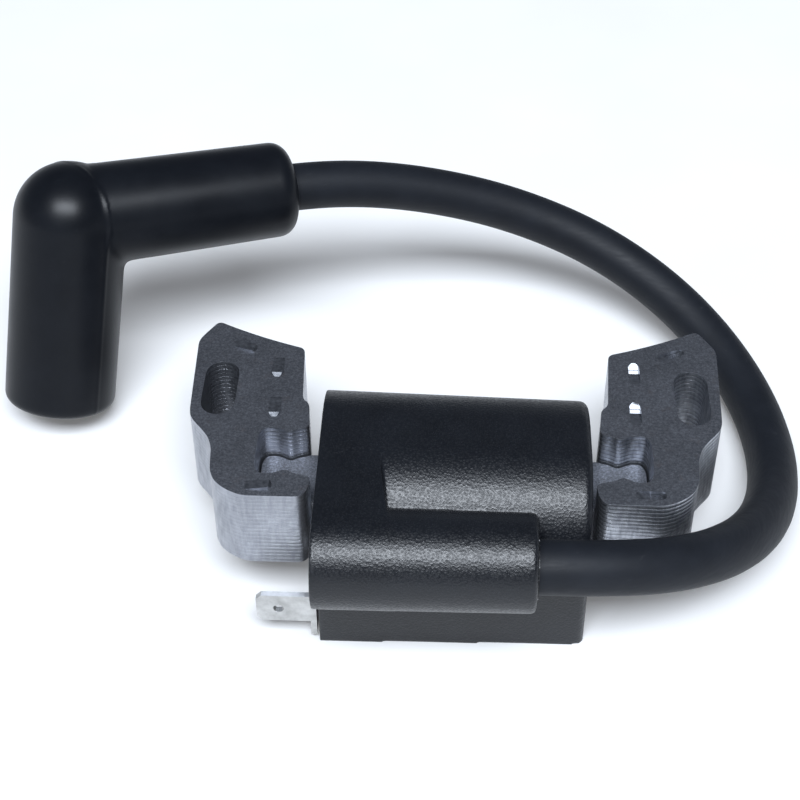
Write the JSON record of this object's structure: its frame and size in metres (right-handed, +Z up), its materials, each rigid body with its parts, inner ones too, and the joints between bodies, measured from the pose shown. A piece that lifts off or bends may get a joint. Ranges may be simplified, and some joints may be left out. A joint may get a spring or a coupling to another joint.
{
  "type": "ignition coil",
  "caption": "Flywheel ignition coil with laminated U-shaped core, moulded housing, kill terminal, high-tension lead and spark plug boot.",
  "frame": {"origin": "in the flat bottom of the coil housing, under the middle of the core bar", "axes": "+X along the core bar to the right, +Y towards the pole faces, +Z up from the surface it stands on"},
  "size_m": [0.116, 0.0842, 0.0381],
  "materials": {
    "lamination_steel": "stamped electrical steel, oiled, dull",
    "housing_plastic": "fine-grained black moulding",
    "potting_epoxy": "cast epoxy",
    "bobbin_plastic": "natural moulded nylon",
    "winding_copper": "enamelled copper wire",
    "board_laminate": "glass epoxy board",
    "transistor_case": "moulded case",
    "resistor_body": "lacquered body",
    "tinned_steel": "bright tin plate",
    "terminal_brass": "plain brass",
    "sealant": "cured black sealant",
    "lead_jacket": "matte black cable jacket",
    "boot_rubber": "satin moulded rubber"
  },
  "bodies": {
    "coil": {"left_lamination_01": "lamination_steel", "left_lamination_02": "lamination_steel", "left_lamination_03": "lamination_steel", "left_lamination_04": "lamination_steel", "left_lamination_05": "lamination_steel", "left_lamination_06": "lamination_steel", "left_lamination_07": "lamination_steel", "left_lamination_08": "lamination_steel", "left_lamination_09": "lamination_steel", "left_lamination_10": "lamination_steel", "left_lamination_11": "lamination_steel", "left_lamination_12": "lamination_steel", "left_lamination_13": "lamination_steel", "left_lamination_14": "lamination_steel", "left_lamination_15": "lamination_steel", "left_lamination_16": "lamination_steel", "left_lamination_17": "lamination_steel", "left_lamination_18": "lamination_steel", "right_lamination_01": "lamination_steel", "right_lamination_02": "lamination_steel", "right_lamination_03": "lamination_steel", "right_lamination_04": "lamination_steel", "right_lamination_05": "lamination_steel", "right_lamination_06": "lamination_steel", "right_lamination_07": "lamination_steel", "right_lamination_08": "lamination_steel", "right_lamination_09": "lamination_steel", "right_lamination_10": "lamination_steel", "right_lamination_11": "lamination_steel", "right_lamination_12": "lamination_steel", "right_lamination_13": "lamination_steel", "right_lamination_14": "lamination_steel", "right_lamination_15": "lamination_steel", "right_lamination_16": "lamination_steel", "right_lamination_17": "lamination_steel", "right_lamination_18": "lamination_steel", "core_bar": "lamination_steel", "coil_housing": "housing_plastic", "potting": "potting_epoxy", "primary_bobbin": "bobbin_plastic", "secondary_bobbin": "bobbin_plastic", "trigger_bobbin": "bobbin_plastic", "primary_winding": "winding_copper", "secondary_winding": "winding_copper", "trigger_winding": "winding_copper", "ht_link_wire": "winding_copper", "module_board": "board_laminate", "power_transistor": "transistor_case", "base_resistor": "resistor_body", "ground_strap": "tinned_steel", "kill_terminal": "tinned_steel", "ht_contact": "terminal_brass", "lead_sealant": "sealant", "ht_lead": "lead_jacket"},
    "boot": {"plug_boot": "boot_rubber", "plug_terminal": "terminal_brass", "terminal_spike": "terminal_brass"}
  },
  "joints": [
    {"name": "boot_swivel", "type": "hinge", "parent": "coil", "child": "boot", "pos_m": [-0.02535, 0.04995, 0.0275], "axis": [-0.9264, -0.3687, 0.0762], "range_deg": [0, 120]}
  ]
}
